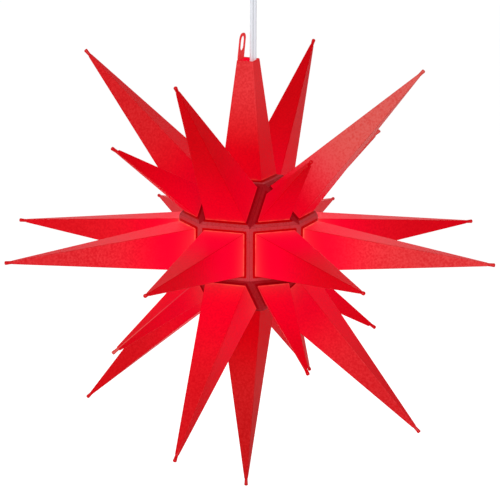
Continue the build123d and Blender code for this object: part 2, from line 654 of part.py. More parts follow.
def canopy_cover():
    """Cup that hides the wiring, with a neck that the flex runs through."""
    low = -COVER_HEIGHT
    steps = 8
    centre = COVER_LOW_RADIUS - COVER_ROUND
    shrink = (COVER_ROUND - COVER_WALL) / COVER_ROUND
    outer, inner = [], []
    for i in range(steps + 1):
        turn = math.pi / 2 * i / steps
        ring, level = COVER_ROUND * math.cos(turn), -COVER_ROUND * math.sin(turn)
        outer.append((centre + ring, low + COVER_ROUND + level))
        inner.append((centre + ring * shrink, low + COVER_ROUND + level * shrink))
    return turned(
        (COVER_RIM_RADIUS, -COVER_GAP), *outer, (NECK_RADIUS_HIGH, low), (NECK_RADIUS_LOW, ROSE_OUTLET),
        (NECK_BORE, ROSE_OUTLET), (NECK_BORE, low + COVER_WALL), *reversed(inner),
        (COVER_RIM_RADIUS - COVER_WALL, -COVER_GAP),
    )


def thumb_screw():
    """Screw with a knurled head, along +Z from its tip."""
    head = rod(THUMB_HEAD_RADIUS, THUMB_SHANK, THUMB_SHANK + THUMB_HEAD)
    head = chamfer(head.edges().filter_by(GeomType.CIRCLE), THUMB_CHAMFER)
    knurl = Pos(THUMB_HEAD_RADIUS + KNURL_STAND_OFF, 0, THUMB_SHANK) * Cylinder(KNURL_RADIUS, 2 * THUMB_SHANK)
    for i in range(KNURLS):
        head -= Rot(0, 0, 360 * i / KNURLS) * knurl
    return rod(THUMB_SCREW_RADIUS, 0, THUMB_SHANK + THUMB_SHANK_ROOT) + head


def build_rose():
    """Save the ceiling rose: plate, flex clamp, terminal block, cores, cover and thumb screw."""
    pole_screw = rod(POLE_SCREW_RADIUS, -POLE_SCREW_PROUD, POLE_SCREW_LENGTH) - Box(*POLE_SCREW_SLOT)
    thumb_frame = FLEX_FRAME * Plane(
        origin=(0, -HALF_FLEX - THUMB_TIP_GAP, THUMB_SCREW_LEVEL), x_dir=(1, 0, 0), z_dir=(0, -1, 0)
    ).location
    thumb_hole = thumb_frame * rod(THUMB_SCREW_RADIUS + THUMB_CLEARANCE, 0, THUMB_SHANK + THUMB_HEAD)
    save("ceiling_plate", ceiling_plate())
    save("anchor_post", anchor_post())
    save("anchor_bar", anchor_bar())
    save("anchor_screws", *[place * screw(SCREW_LENGTH) for place in anchor_places()])
    save("terminal_block", terminal_block())
    save("terminal_screws", *[place * pole_screw for place in pole_screw_places()])
    save("rose_cores", core(-1), core(1))
    save("canopy_cover", canopy_cover() - thumb_hole)
    save("thumb_screw", thumb_frame * thumb_screw())
    print("bends of the cores in the rose:", CORE_BENDS)


build_clips(build_points())
build_flex()
build_grip()
build_holder()
build_lamp()
build_rose()
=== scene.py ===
"""Dresses the hanging star pendant: moulded points lit from inside, flat twin flex and ceiling rose."""

import json
import math

import bpy
import numpy as np
from bpy.props import FloatProperty, FloatVectorProperty
from mathutils import Matrix, Vector


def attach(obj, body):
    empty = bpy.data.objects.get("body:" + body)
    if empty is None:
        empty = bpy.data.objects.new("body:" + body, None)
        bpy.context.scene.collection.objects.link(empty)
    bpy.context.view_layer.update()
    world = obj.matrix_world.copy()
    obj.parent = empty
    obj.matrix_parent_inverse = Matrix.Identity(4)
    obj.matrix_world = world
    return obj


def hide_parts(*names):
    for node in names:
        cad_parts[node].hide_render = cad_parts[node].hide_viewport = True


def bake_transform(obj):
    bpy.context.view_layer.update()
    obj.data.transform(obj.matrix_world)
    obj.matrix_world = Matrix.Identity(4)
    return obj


bl_info = {
    "name": "Star Pendant",
    "version": (1, 0, 0),
    "blender": (4, 5, 0),
    "location": "View3D > Sidebar > Star Pendant",
    "description": "Builds the points, flex, ceiling rose and finishes of a hanging Moravian star",
    "category": "Add Mesh",
}

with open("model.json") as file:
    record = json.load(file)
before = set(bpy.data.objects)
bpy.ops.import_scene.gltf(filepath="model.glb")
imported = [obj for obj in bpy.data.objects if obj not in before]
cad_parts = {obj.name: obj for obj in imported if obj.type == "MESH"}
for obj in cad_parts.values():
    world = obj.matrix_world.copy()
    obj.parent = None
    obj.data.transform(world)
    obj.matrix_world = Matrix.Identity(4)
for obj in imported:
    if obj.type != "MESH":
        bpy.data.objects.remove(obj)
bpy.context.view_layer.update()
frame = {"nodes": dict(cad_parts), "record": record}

MILLIMETRE = 0.001
SQUARE = 4
TRIANGLE = 3
TRIANGLE_ELEVATION = math.degrees(math.asin(1 / math.sqrt(3)))
# Rings of points: node name, sides, elevation, first azimuth, step (360 for one point), lamplight,
# paleness of the rim's sides, and of its side next to the middle ring; that paleness is a painted sheen,
# and what a rim lacks of it is painted shade
RINGS = (
    ("middle_point", SQUARE, 0.0, 0, 45, 1.07, 1.0, 1.0),
    ("upper_point", SQUARE, 45.0, 0, 90, 0.73, 0.12, 0.9),
    ("lower_point", SQUARE, -45.0, 0, 90, 0.81, 0.30, 0.2),
    ("upper_triangle_point", TRIANGLE, TRIANGLE_ELEVATION, 45, 90, 0.74, 0.15, 0.9),
    ("lower_triangle_point", TRIANGLE, -TRIANGLE_ELEVATION, 45, 90, 0.81, 0.30, 0.2),
    ("bottom_point", SQUARE, -90.0, 0, 360, 0.38, 0.3, 0.3),
)
# Top point: lamplight, and the painted sheen on its rim's sides and on its -Y side
TOP_LIGHT = (0.57, 0.8, 0.8)
# Points whose walls carry a painted sheen in a paler red, and how much
PAINTED_SHEEN_POINTS = {"upper_point_2": 1.0, "upper_triangle_point_2": 0.8, "middle_point_3": 0.2}
# Points with a painted highlight down some of their ridges, by the ridge's number
RIDGE_HIGHLIGHTS = {"lower_triangle_point_4": (1, 2)}
RIDGE_HIGHLIGHT = 1.4
# The thin points lean a little, each its own way: millimetres at the tip, level and up its face
LEANS = {
    "middle_point": (
        (0.4, -0.9), (2.3, 0.8), (-2.1, -2.2), (2.7, -0.5), (0.6, -2.5), (-2.7, 0.0), (-0.5, 0.4),
        (3.0, -0.7),
    ),
    "upper_point": ((-0.4, -2.4), (-1.5, 0.5), (-1.3, 0.1), (-2.4, 1.2)),
    "lower_point": ((1.4, -3.0), (-0.8, -1.8), (0.3, -1.7), (-0.1, 1.2)),
    "upper_triangle_point": ((0.9, 1.1), (2.0, -0.7), (0.0, 0.0), (0.8, 0.3)),
    "lower_triangle_point": ((0.5, -0.6), (-1.8, 1.5), (0.0, 0.0), (-1.0, -0.9)),
    "bottom_point": ((0.5, -1.4),),
}
TOP_LEAN = (-1.3, -0.5)


# ---- settings
def length(default, description, low=0.0):
    """A length in metres."""
    return FloatProperty(description=description, default=default, min=low, precision=5, unit="LENGTH")


def pair(default, description):
    """Two lengths in metres."""
    return FloatVectorProperty(description=description, default=default, size=2, precision=5, unit="LENGTH")


def colour(default, description):
    """A linear colour."""
    return FloatVectorProperty(description=description, default=default, subtype="COLOR", min=0.0, max=1.0)


def amount(default, description, high=10.0):
    """A plain number."""
    return FloatProperty(description=description, default=default, min=0.0, max=high)


def angle(degrees, description):
    """An angle, stated in degrees and kept in radians."""
    return FloatProperty(description=description, default=math.radians(degrees), subtype="ANGLE")


class StarSizes(bpy.types.PropertyGroup):
    """Sizes of the star's body and points."""

    drop: length(0.280, "Ceiling to the centre of the star")
    offset: pair((-0.0027, -0.0011), "Centre of the star beside the flex")
    globe_drop: length(0.008, "Centre of the star to the middle of the lamp's globe")
    bright_side: length(0.014, "How far to the front of the globe its light is centred")
    span: length(0.400, "Tip to tip across opposite square points")
    edge: length(0.04175, "Edge of every face of the body")
    triangle_reach: length(0.1393, "Centre of the star to the tip of a triangular point")
    rim: length(0.0041, "Width of the flat rim round a point's foot")
    seam: length(0.00001, "Half of the gap between neighbouring points")
    wall: length(0.0011, "Wall of every point")
    shoulder_width: length(0.0019, "Width over which a rim rounds into the seam")
    shoulder_depth: length(0.0006, "Depth over which a rim rounds into the seam")
    collar_step: length(0.0003, "How far the collar stands out from a point's foot")
    collar_height: length(0.0012, "Height of the collar round a point's foot")
    flange: length(0.0065, "How far the rims fold inwards")
    neck: length(0.00125, "Half width of a point where its stub starts")
    stub_length: length(0.006, "Length of the stub at a point's tip")
    stub_radius: length(0.0015, "Radius of the stub's flared end")
    ridge: length(0.0006, "Rounding of the edges between a point's walls")
    mouth: length(0.0922, "Top face of the body to the open mouth")
    mouth_slope: angle(5.5, "Tilt of the cut at the mouth, down towards the front")
    mouth_front: angle(22.5, "Azimuth that the mouth is cut down towards")
    eyelet_height: length(0.0202, "Mouth to the top of the eyelet")
    eyelet_width: length(0.0122, "Width of the eyelet's tab")
    eyelet_corner: length(0.005, "Corner radius of the eyelet's tab")
    eyelet_root: length(0.003, "How far the eyelet's tab reaches down into the wall")
    eyelet_hole: pair((0.0070, 0.0112), "Width and height of the eyelet's hole")
    eyelet_centre: length(0.01225, "Mouth to the middle of the eyelet's hole")


class FlexSizes(bpy.types.PropertyGroup):
    """Sizes of the flat twin flex."""

    width: length(0.0052, "Width across both cores")
    thickness: length(0.0032, "Thickness of one core in its sheath")
    turn: angle(21.6, "Azimuth that the flat side faces")
    outlet: length(0.052, "Ceiling to the rose's outlet")
    side_bend: length(0.088, "Ceiling to the sideways bend")
    front_bend: length(0.116, "Ceiling to the bend to the front and back")
    grip: length(0.1535, "Ceiling to the top of the grip in the star")
    bend: length(0.016, "Length of flex that each bend is spread over")


class RoseSizes(bpy.types.PropertyGroup):
    """Sizes of the ceiling rose's cover and thumb screw."""

    rim_radius: length(0.042, "Radius of the cover at the ceiling")
    low_radius: length(0.040, "Radius of the cover above its rounded foot")
    height: length(0.040, "Ceiling to the foot of the cover")
    gap: length(0.0005, "Between the cover's rim and the ceiling")
    wall: length(0.0018, "Wall of the cover")
    rounding: length(0.012, "Radius of the cover's rounded foot")
    neck_high: length(0.008, "Radius of the neck where it leaves the cover")
    neck_low: length(0.007, "Radius of the neck's lower end")
    neck_bore: length(0.0031, "Radius of the hole for the flex")
    thumb_level: length(0.046, "Ceiling to the thumb screw's axis")
    thumb_radius: length(0.0044, "Radius of the thumb screw's head")
    thumb_shank: length(0.0066, "Length of the thumb screw's shank")
    thumb_shank_radius: length(0.002, "Radius of the thumb screw's shank")
    thumb_head: length(0.005, "Length of the thumb screw's head")


class Finishes(bpy.types.PropertyGroup):
    """Colours and strengths of the finishes."""

    plastic: colour((0.48, 0.0, 0.001), "Red plastic in plain light")
    # Painted sheen: the rims drawn in a paler red where they would catch the light
    rim: colour((0.49, 0.050, 0.062), "Bare rims between the points, a little chalky")
    # Painted sheen: walls drawn in a paler red where they would catch the light
    dust: colour((0.51, 0.078, 0.062), "Walls that have turned chalky")
    # Painted shade: the rims between the points drawn darker
    shade: colour((0.2784, 0.0, 0.006), "Clean rims in the shade between the points")
    faint: colour((0.58, 0.0, 0.0), "Lamplight far from the globe")
    glow: colour((0.58, 0.0, 0.024), "Lamplight near the globe")
    wash: colour((0.62, 0.050, 0.052), "Lamplight through the walls nearest the globe")
    hot: colour((0.72, 0.170, 0.090), "Lamplight at the thin foot of a wall")
    sheath: colour((0.83, 0.87, 0.93), "Sheath of the flex")
    white: colour((0.80, 0.80, 0.77), "Moulded white plastic")
    cream: colour((0.68, 0.67, 0.61), "Terminal block")
    ceramic: colour((0.74, 0.71, 0.63), "Contact carrier")
    steel: colour((0.50, 0.51, 0.53), "Plated steel")
    brass: colour((0.62, 0.42, 0.14), "Contacts")
    shell: colour((0.60, 0.59, 0.56), "Plated screw shell")
    black: colour((0.012, 0.012, 0.014), "Insulator of the lamp")
    core: colour((0.16, 0.06, 0.03), "Insulation of the cores")
    globe: colour((0.95, 0.86, 0.66), "Frosted globe")


class StageSettings(bpy.types.PropertyGroup):
    """Camera, lights and floor."""

    yaw: angle(0.9657, "Turn of the view about the vertical")
    roll: angle(0.2740, "Tilt of the view to the side")
    pitch: angle(12.2555, "How far the view looks down")
    quarter: angle(22.5, "Turn of the view round the star")
    across: length(-0.00120, "Sideways place of the view", -1.0)
    up: length(0.00749, "Height of the view", -1.0)
    distance: length(1.84747, "Camera to the centre of the star")
    lens: amount(170.12, "Focal length in millimetres on a 36 mm frame", 500.0)
    floor_drop: length(0.42, "Lowest tip to the floor")
    floor_lift: amount(0.56, "Glow of the floor as a camera, mirror or glass sees it")
    sky: amount(0.52, "Brightness of the even light from all round")
    key: amount(17.0, "Power of the soft light from the front right, in watts", 500.0)
    fill: amount(10.0, "Power of the soft light from the front left, in watts", 500.0)
    back: amount(8.0, "Power of the soft light from behind, in watts", 500.0)


# ---- shader maths
class Signal:
    """A shader socket that + and * work on; each operation adds a Math node."""

    def __init__(self, graph, socket):
        self.graph = graph
        self.socket = socket

    def __add__(self, other):
        return self.graph.node("ShaderNodeMath", {"operation": "ADD"}, {0: self, 1: other})

    def __mul__(self, other):
        return self.graph.node("ShaderNodeMath", {"operation": "MULTIPLY"}, {0: self, 1: other})

    __radd__ = __add__
    __rmul__ = __mul__


class Graph:
    """Nodes of a material or of the surroundings."""

    def __init__(self, owner):
        owner.use_nodes = True
        self.owner = owner
        self.tree = owner.node_tree
        self.tree.nodes.clear()

    def node(self, kind, settings=None, inputs=None, output=0):
        """Add a node, set its settings and then its sockets, and give back one of its outputs."""
        made = self.tree.nodes.new(kind)
        for key, value in (settings or {}).items():
            if key == "stops":
                self._stops(made.color_ramp, value)
            else:
                setattr(made, key, value)
        for key, value in (inputs or {}).items():
            socket = made.inputs[key]
            if isinstance(value, Signal):
                self.tree.links.new(value.socket, socket)
            else:
                socket.default_value = value
        return Signal(self, made.outputs[output]) if made.outputs else None

    def sees_background(self):
        """1 for a ray from the camera, from gloss or through glass, and 0 for light that falls on things."""
        camera, gloss, glass = (
            self.node("ShaderNodeLightPath", output=f"Is {kind} Ray")
            for kind in ("Camera", "Glossy", "Transmission")
        )
        return camera + gloss + glass

    def light(self, kind, strength):
        """White light of one strength, as a Background or an Emission shader."""
        return self.node(kind, None, {"Color": (1.0, 1.0, 1.0, 1.0), "Strength": strength})

    @staticmethod
    def _stops(ramp, stops):
        """Move a ramp's two ends to the outer stops and add the others between them."""
        for element, (place, _) in zip(ramp.elements, (stops[0], stops[-1])):
            element.position = place
        for place, _ in stops[1:-1]:
            ramp.elements.new(place)
        for element, (_, value) in zip(ramp.elements, stops):
            element.color = (value, value, value, 1)

    def close(self, shader, kind="ShaderNodeOutputMaterial"):
        """Send a shader to the output."""
        self.node(kind, None, {"Surface": shader})
        return self.owner


class Finish(Graph):
    """Node graph of one material, ending in a Principled shader."""

    def __init__(self, name):
        super().__init__(bpy.data.materials.new(name))

    def noise(self, per_metre, detail=2.0, stretch=(1.0, 1.0, 1.0), seed=0.0):
        """Noise from 0 to 1 over the piece's own coordinates, with so many spots a metre."""
        place = self.node("ShaderNodeTexCoord", output="Object")
        sockets = {"Vector": place, "Location": (seed, seed * 0.7, seed * 1.3), "Scale": stretch}
        spot = self.node("ShaderNodeMapping", None, sockets)
        return self.node("ShaderNodeTexNoise", None, {"Vector": spot, "Scale": per_metre, "Detail": detail})

    def ramp(self, signal, *stops):
        """Signal bent through (place, value) stops."""
        return self.node("ShaderNodeValToRGB", {"stops": stops}, {"Fac": signal})

    def mix(self, factor, first, second):
        """Colour between two colours."""
        ends = (end if isinstance(end, Signal) else (*end, 1.0) for end in (first, second))
        sockets = {"Factor": factor, **dict(zip((6, 7), ends))}
        return self.node("ShaderNodeMix", {"data_type": "RGBA"}, sockets, 2)

    def scaled(self, tint, factor):
        """Colour times a number that varies."""
        return self.mix(factor, (0.0, 0.0, 0.0), tint)

    def attribute(self, name):
        """Number that a piece carries at its vertices."""
        return self.node("ShaderNodeAttribute", {"attribute_name": name}, output="Fac")

    def bump(self, height, distance):
        """Normal from a height."""
        return self.node("ShaderNodeBump", None, {"Height": height, "Distance": distance})

    def principled(self, **sockets):
        """Finish the graph with a Principled shader."""
        named = {key.replace("_", " "): value for key, value in sockets.items()}
        return self.close(self.node("ShaderNodeBsdfPrincipled", None, named, "BSDF"))


# ---- finishes
def times(tint, share):
    """Colour times a number."""
    return tuple(c * share for c in tint)


def star_plastic(finishes):
    """Fine-grained red plastic: even, matt, lit from inside most strongly near each point's foot.

    The sheen follows the angle of view: strongest head-on, almost none at 45 degrees, some at grazing.
    The rims, a few walls and a few ridges carry a painted sheen in a paler red; the rims carry painted
    shade where they are not pale.
    """
    f = Finish("star_plastic")
    grain = f.noise(620.0, 1.5)
    cloud = f.noise(26.0, 3.0, seed=3.1)
    streak = f.noise(150.0, 2.0, seed=8.3)
    speckle = f.ramp(grain, (0.35, 0.0), (0.65, 1.0))
    glow, gloss = f.attribute("lamplight"), f.attribute("gloss")
    clean = f.mix(speckle, times(finishes.plastic, 0.92), times(finishes.plastic, 1.06))
    shaded = f.mix(f.attribute("shade"), clean, finishes.shade)
    # Painted sheen: a paler red on the rims, on a few walls and down a few ridges
    painted_pale = f.attribute("chalk") * (0.37 + 0.7 * cloud + 0.6 * speckle)
    chalk = f.mix(gloss, finishes.rim, finishes.dust)
    facing = f.node("ShaderNodeLayerWeight", None, {"Blend": 0.5}, "Facing")
    sheen = f.ramp(
        facing, (0.03, 1.0), (0.07, 0.62), (0.14, 0.28), (0.21, 0.035), (0.50, 0.012), (0.65, 0.10),
        (1.0, 0.19),
    )
    washed = f.mix(f.attribute("wash"), f.mix(glow, finishes.faint, finishes.glow), finishes.wash)
    line = f.attribute("foot_line") * f.ramp(streak, (0.40, 0.15), (0.62, 1.0))
    lit = glow * (0.90 + 0.20 * cloud) * (0.975 + 0.05 * speckle)
    return f.principled(
        Base_Color=f.mix(painted_pale, shaded, chalk), Roughness=0.44 + 0.12 * speckle, IOR=1.49,
        Specular_IOR_Level=0.015, Coat_Weight=gloss * sheen * (0.60 + 0.80 * speckle), Coat_Roughness=0.46,
        Coat_IOR=1.46, Emission_Color=f.scaled(f.mix(line, washed, finishes.hot), lit),
        Emission_Strength=1.0, Normal=f.bump(grain, 0.00003),
    )


def moulded(name, tint, roughness, per_metre=900.0, depth=0.00003):
    """Moulded plastic: faint mottling, fine grain and uneven gloss."""
    f = Finish(name)
    grain = f.noise(per_metre)
    cloud = f.noise(60.0, 3.0, seed=2.7)
    return f.principled(
        Base_Color=f.mix(cloud, times(tint, 0.90), tint), Roughness=roughness + 0.10 * cloud,
        Normal=f.bump(grain, depth),
    )


def metal(name, tint, roughness, stretch=(1.0, 1.0, 8.0)):
    """Plated metal: fine lines one way, duller where it is handled."""
    f = Finish(name)
    lines = f.noise(1400.0, 3.0, stretch)
    cloud = f.noise(120.0, 3.0, seed=5.5)
    return f.principled(
        Base_Color=f.mix(cloud, times(tint, 0.80), tint), Metallic=1.0, Roughness=roughness + 0.16 * lines,
        Normal=f.bump(lines, 0.00001),
    )


def frosted(name, tint):
    """Frosted globe, warm where the light source shines through."""
    f = Finish(name)
    grain = f.noise(2200.0)
    cloud = f.noise(45.0, 2.0, seed=1.9)
    return f.principled(
        Base_Color=f.mix(cloud, times(tint, 0.92), tint), Roughness=0.45 + 0.15 * grain,
        Emission_Color=f.scaled(tint, 0.75 + 0.25 * cloud), Emission_Strength=1.0,
        Normal=f.bump(grain, 0.00003),
    )


def flex_sheath(finishes):
    """White sheath: smooth and a little glossy, with faint drawing lines along its length and painted shade
    along the groove between the cores.
    """
    f = Finish("flex_sheath")
    lines = f.noise(1800.0, 2.0, (1.0, 1.0, 0.03))
    cloud = f.noise(40.0, 3.0, seed=4.4)
    body = f.mix(cloud, times(finishes.sheath, 0.95), finishes.sheath)
    # Painted shade along the floor of the groove between the cores
    shade = f.mix(f.attribute("groove") * 0.8, body, times(finishes.sheath, 0.55))
    return f.principled(Base_Color=shade, Roughness=0.26 + 0.12 * lines, Normal=f.bump(lines, 0.00002))


# ---- surfaces
def grid_mesh(points, close_rows=False, caps=(None, None), smooth=None, values=None, soft_caps=True):
    """Mesh of a grid of points (rows, columns, 3) that closes round its columns.

    The last row joins the first where close_rows is true. caps holds the points that close the first and
    last row, or None. smooth (rows, columns) marks the smooth faces by their first corner; without it all
    are smooth. values holds numbers for each vertex by attribute name.
    """
    rows, columns = points.shape[:2]
    index = np.arange(rows * columns).reshape(rows, columns)
    low = index if close_rows else index[:-1]
    high = np.roll(index, -1, axis=0) if close_rows else index[1:]
    quads = np.stack([low, np.roll(low, -1, axis=1), np.roll(high, -1, axis=1), high], axis=-1)
    faces = quads.reshape(-1, 4).tolist()
    flags = [True] * len(faces) if smooth is None else smooth[: low.shape[0]].reshape(-1).tolist()
    vertices = points.reshape(-1, 3)
    for cap, ring, flip in zip(caps, (index[0], index[-1]), (True, False)):
        if cap is None:
            continue
        pole = np.full(columns, len(vertices))
        vertices = np.vstack([vertices, cap])
        ahead = np.roll(ring, -1)
        faces += np.stack([ahead, ring, pole] if flip else [ring, ahead, pole], axis=-1).tolist()
        flags += [soft_caps] * columns
    mesh = bpy.data.meshes.new("piece")
    mesh.from_pydata(vertices.tolist(), [], faces)
    mesh.polygons.foreach_set("use_smooth", flags)
    for key, numbers in (values or {}).items():
        filled = np.zeros(len(vertices), np.float32)
        filled[: numbers.size] = numbers.reshape(-1)
        filled[numbers.size:] = numbers.reshape(-1)[-1]
        mesh.attributes.new(key, "FLOAT", "POINT").data.foreach_set("value", filled)
    mesh.validate()
    return mesh


def rounded_polygon(sides, apothem, corner, height, arc=5):
    """Rings (rows, sides * arc, 3): a polygon of half width a whose corners are arcs of radius c.

    The arcs' centres are the corners of the polygon of half width a - c, and each arc turns through
    360 degrees / sides. With c = a the ring is a circle.
    """
    corner = np.minimum(corner, apothem * 0.999)[:, None, None]
    apothem = apothem[:, None, None]
    middle = (-math.pi / 2 + math.pi / sides + 2 * math.pi * np.arange(sides) / sides)[None, :, None]
    turn = middle + np.linspace(-math.pi / sides, math.pi / sides, arc)[None, None, :]
    centre = (apothem - corner) / math.cos(math.pi / sides)
    x = centre * np.cos(middle) + corner * np.cos(turn)
    y = centre * np.sin(middle) + corner * np.sin(turn)
    z = np.broadcast_to(height[:, None, None], x.shape)
    return np.stack([x, y, z], axis=-1).reshape(len(height), sides * arc, 3)


def all_round(count):
    """Angles spread evenly over a full turn."""
    return np.linspace(0, 2 * math.pi, count, endpoint=False)


def turned_profile(radius, height, columns):
    """Rings (rows, columns, 3): a profile of radius against height, carried round the Z axis."""
    turn = all_round(columns)
    x = radius[:, None] * np.cos(turn)
    y = radius[:, None] * np.sin(turn)
    z = np.broadcast_to(height[:, None], x.shape)
    return np.stack([x, y, z], axis=-1)


def add_object(name, data):
    """New object in the scene."""
    made = bpy.data.objects.new(name, data)
    bpy.context.scene.collection.objects.link(made)
    return made


def add_piece(name, mesh, body, material, nodes=()):
    """Object for a mesh at the origin, with its finish, that rides a body and stands for CAD nodes."""
    mesh.name = name
    piece = add_object(name, mesh)
    mesh.materials.append(material)
    if nodes:
        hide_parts(*nodes)
    if body:
        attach(piece, body)
    return piece


def rise(value, start, over):
    """0 up to a start, then in a straight line to 1 over so much more."""
    return np.clip((value - start) / over, 0, 1)


class Spire:
    """Profile and mesh of one kind of point, in its face's frame: Z outwards, an edge of the face at -Y.

    Each set of rows holds half widths, heights, corner radii and how much of a bare rim each row is.
    """

    def __init__(self, sizes, sides):
        self.sizes = sizes
        self.sides = sides
        self.face = sizes.edge / (2 * math.tan(math.pi / sides))
        square = sizes.edge * (1 + math.sqrt(2)) / 2
        triangle = sizes.edge * (3 + math.sqrt(2)) / (2 * math.sqrt(3))
        self.inradius = square if sides == SQUARE else triangle
        self.tip = (sizes.span / 2 if sides == SQUARE else sizes.triangle_reach) - self.inradius
        self.slant = self.inradius / math.hypot(square, sizes.edge / 2)
        self.foot = self.face - sizes.rim
        self.neck = self.tip - sizes.stub_length
        self.depth = sizes.flange * self.slant
        self.near = math.hypot(self.inradius, self.foot)

    def wall(self, height):
        """Half width of the outer walls, a straight line from the foot to the neck."""
        return self.foot - (self.foot - self.sizes.neck) * height / self.neck

    def seam_edge(self, height):
        """Half width of the face's pyramid to the star's centre, less the seam."""
        return self.face * (self.inradius + height) / self.inradius - self.sizes.seam / self.slant

    def base_rows(self):
        """Flange, rounded shoulder, flat rim and collar.

        The shoulder is a quarter of an ellipse from the seam's side to the rim's top.
        """
        s = self.sizes
        fold, crest, collar = 0.0005, 0.0010, 0.0009
        turn = np.linspace(0, math.pi / 2, 7)
        low, high = self.seam_edge(-s.shoulder_depth), self.seam_edge(0) - s.shoulder_width
        flange = np.array([-self.depth, -self.depth / 2])
        wide = np.concatenate([
            self.seam_edge(flange), high + (low - high) * np.cos(turn), [high - 0.0006, high - 0.0008],
            self.foot + s.collar_step * np.array([2.0, 1.15, 1.0, 0.62, 0.30]),
        ])
        level = np.concatenate([
            flange, -s.shoulder_depth * (1 - np.sin(turn)), [0.0, 0.0],
            s.collar_height * np.array([0.0, 0.04, 0.20, 0.86, 1.0]),
        ])
        corner = np.concatenate([[fold] * 2, np.linspace(fold, crest, 7), [collar] * 7])
        pale = np.concatenate([[0.2, 0.5], np.full(8, 1.0), np.zeros(6)])
        return wide, level, corner, pale

    def wall_rows(self, top, count=22):
        """Outer walls from the collar to a height; the ridge radius thins towards the tip."""
        start, crowding, thinning = self.sizes.collar_height * 1.06, 1.35, 0.35
        foot = start + np.array([0.0, 0.0004, 0.0009, 0.0016])
        climb = (top - foot[-1]) * np.linspace(0, 1, count)[1:] ** crowding
        height = np.concatenate([foot, foot[-1] + climb])
        ridge = self.sizes.ridge * (1 - thinning * height / self.neck)
        return self.wall(height), height, ridge, np.zeros(len(height))

    def stub_rows(self):
        """Round stub that flares from the neck and ends in a rounded face."""
        s = self.sizes
        along = np.array([0.05, 0.12, 0.25, 0.50, 0.75, 0.86, 0.93, 0.975, 0.996])
        wide = s.stub_radius * np.array([0.84, 0.83, 0.84, 0.89, 0.96, 1.0, 0.95, 0.80, 0.52])
        return wide, self.neck + s.stub_length * along, wide, np.zeros(len(along))

    def hollow_rows(self, top, count=6):
        """Inner walls from a height down to the rim's underside, then out and down inside the flange."""
        wall, corner = self.sizes.wall, 0.0004
        skin = wall / self.slant
        height = np.linspace(top, 0, count)
        under = [self.foot - wall, self.seam_edge(-wall) - skin, self.seam_edge(-self.depth) - skin]
        wide = np.concatenate([self.wall(height) - wall, under])
        high = np.concatenate([height, [-wall, -wall, -self.depth]])
        return wide, high, np.full(len(wide), corner), np.zeros(len(wide))

    def lamplight(self, away, height, outside, ridge, share, open_end):
        """Light through the wall: one part everywhere, one that falls with the distance from the globe.

        A little gathers again in the narrow ends. The rims and the thick ridges let less of it through, and
        daylight adds some near an open end.
        """
        even, reach, ends, day, thick, rims = 0.34, 0.064, 0.09, 0.38, 0.40, 0.13
        light = even + (1 - even) * np.exp(-((away - self.near) / reach) ** 2)
        light = light + ends * rise(away, 0.110, 0.070) + day * self.daylight(height, open_end)
        light = light * (1 - thick * share ** 2 * ridge)
        light = np.where(height < self.sizes.collar_height * 0.9, rims * share ** 3, light)
        return share * np.where(outside, light, 1.6 if open_end else 0.55)

    def daylight(self, height, open_end):
        """Daylight that an open end lets in: none below 25 mm, all of it above 75 mm."""
        return open_end * rise(height, 0.025, 0.050)

    def gloss(self, height):
        """Smoother surface away from the foot: none below 15 mm, all of it above 75 mm."""
        share = rise(height, 0.015, 0.060)
        return share * share * (3 - 2 * share)

    def wash(self, away, height, share, open_end):
        """Paler light: within some 8 mm of the foot, most where the globe is nearest, and at the mouth."""
        reach = 0.0055
        low = np.exp(-np.clip(away - self.near, 0, None) / reach) * (height > self.sizes.collar_height)
        return np.maximum(low * share ** 4, 0.5 * self.daylight(height, open_end))

    def foot_line(self, height, outside):
        """Thin warm line at the foot: full where the wall starts, gone 2 mm above."""
        above = height - self.sizes.collar_height * 1.05
        reach = 0.0005
        return np.where(outside & (above > 0), np.exp(-np.clip(above, 0, None) / reach), 0.0)

    def surface(self, sections, node, light, lean, matrix, close_rows, caps):
        """Mesh of stacked sections, with the numbers that its vertices carry.

        A section has its rows, whether it is outside, and whether its flat sides are shaded smooth as well.
        light holds the lamplight and the paleness of the rim's sides and of its -Y side, a painted sheen; a
        rim that is less pale gets painted shade, and the foot line is fainter beside such a dark rim. Above
        the foot
        the point leans: its level shift grows with its height. At an open mouth the rows also tilt towards
        the front.
        """
        s = self.sizes
        share, sides_pale, ledge_pale = light
        wide, height, corner, rim = (np.concatenate(part) for part in zip(*(rows for rows, *_ in sections)))
        counts = [len(rows[0]) for rows, *_ in sections]
        outside, soft = (np.repeat([part[i] for part in sections], counts) for i in (1, 2))
        points = rounded_polygon(self.sides, wide, corner, height)
        columns = points.shape[1]
        arc = columns // self.sides
        number, place = np.divmod(np.arange(columns), arc)
        smooth = soft[:, None] | (place != arc - 1)
        height, rim, outside = height[:, None], rim[:, None], outside[:, None]
        if close_rows:
            ahead = points[..., 0] * math.sin(s.mouth_front) - points[..., 1] * math.cos(s.mouth_front)
            points[..., 2] -= math.tan(s.mouth_slope) * ahead * np.clip(height / s.mouth, 0, 1) ** 4
        lean = np.array([*lean, 0]) * MILLIMETRE
        points += lean * np.clip(height / self.tip, 0, None)[..., None]
        turn, shift = np.array(matrix.to_3x3()), np.array(matrix.translation)
        world = points @ turn.T + shift
        front = np.array([math.sin(s.mouth_front), -math.cos(s.mouth_front), 0.0])
        globe = np.array([*s.offset, -s.drop - s.globe_drop])
        away, dim = (np.linalg.norm(world - spot, axis=-1) for spot in (globe, globe + front * s.bright_side))
        ridge = np.array([0.0, 0.6, 1.0, 0.6, 0.0])[place] * (height > s.collar_height)
